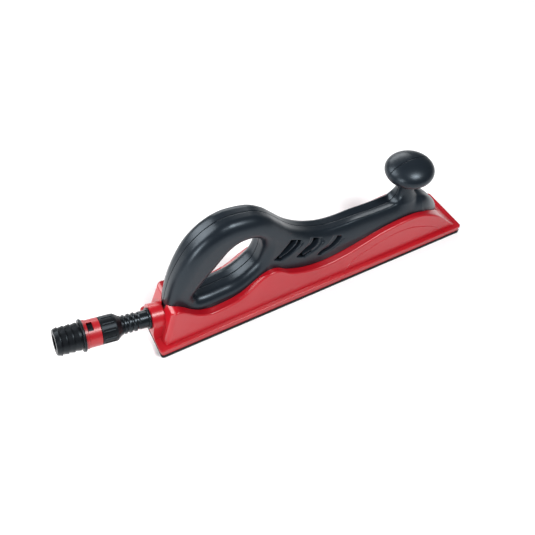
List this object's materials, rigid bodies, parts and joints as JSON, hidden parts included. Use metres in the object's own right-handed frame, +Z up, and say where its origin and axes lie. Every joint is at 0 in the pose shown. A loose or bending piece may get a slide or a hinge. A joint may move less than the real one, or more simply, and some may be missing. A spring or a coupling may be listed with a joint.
{
  "type": "sanding block",
  "caption": "Long hand sanding block with a flat pad, hollow dust-extraction body, handle with closed finger loop and front knob, and a swivelling dust hose connector.",
  "frame": {"origin": "centre of the sanding face, on the underside of the hook face", "axes": "+X along the block to the knob end, +Z up away from the work, +Y to the right-hand handle half; the hose connector leaves at -X"},
  "size_m": [0.5205, 0.07, 0.1486],
  "materials": {
    "hook_fabric": "short hook pile",
    "pad_foam": "dense foam, matt",
    "plate_plastic": "moulded",
    "seal_rubber": "smooth",
    "screw_steel": "zinc plated",
    "insert_brass": "turned",
    "red_plastic": "satin moulded",
    "handle_plastic": "satin, soft to the touch",
    "hose_rubber": "satin",
    "fitting_plastic": "fine moulded texture",
    "ring_plastic": "satin moulded"
  },
  "bodies": {
    "block": {"hook_face": "hook_fabric", "foam_pad": "pad_foam", "base_plate": "plate_plastic", "plenum_gasket": "seal_rubber", "base_screws": "screw_steel", "base_inserts": "insert_brass", "body_shell": "red_plastic", "handle_left": "handle_plastic", "handle_right": "handle_plastic", "clamshell_screws": "screw_steel", "handle_screws": "screw_steel", "handle_inserts": "insert_brass"},
    "tail": {"hose_tail": "hose_rubber", "tail_seal": "seal_rubber", "tail_clip": "screw_steel", "union_seal": "seal_rubber", "connector_body": "fitting_plastic", "regulator_seals": "seal_rubber"},
    "nut": {"grip_nut": "fitting_plastic"},
    "regulator": {"regulator_ring": "ring_plastic"}
  },
  "joints": [
    {"name": "tail_spin", "type": "hinge", "parent": "block", "child": "tail", "pos_m": [-0.20024, 0, 0.03315], "axis": [-0.9757, 0, 0.2192], "continuous": true},
    {"name": "nut_turn", "type": "hinge", "parent": "tail", "child": "nut", "pos_m": [-0.25293, 0, 0.04498], "axis": [-0.9757, 0, 0.2192], "range_deg": [0, 60]},
    {"name": "regulator_turn", "type": "hinge", "parent": "tail", "child": "regulator", "pos_m": [-0.26952, 0, 0.04871], "axis": [-0.9757, 0, 0.2192], "range_deg": [0, 90]}
  ]
}
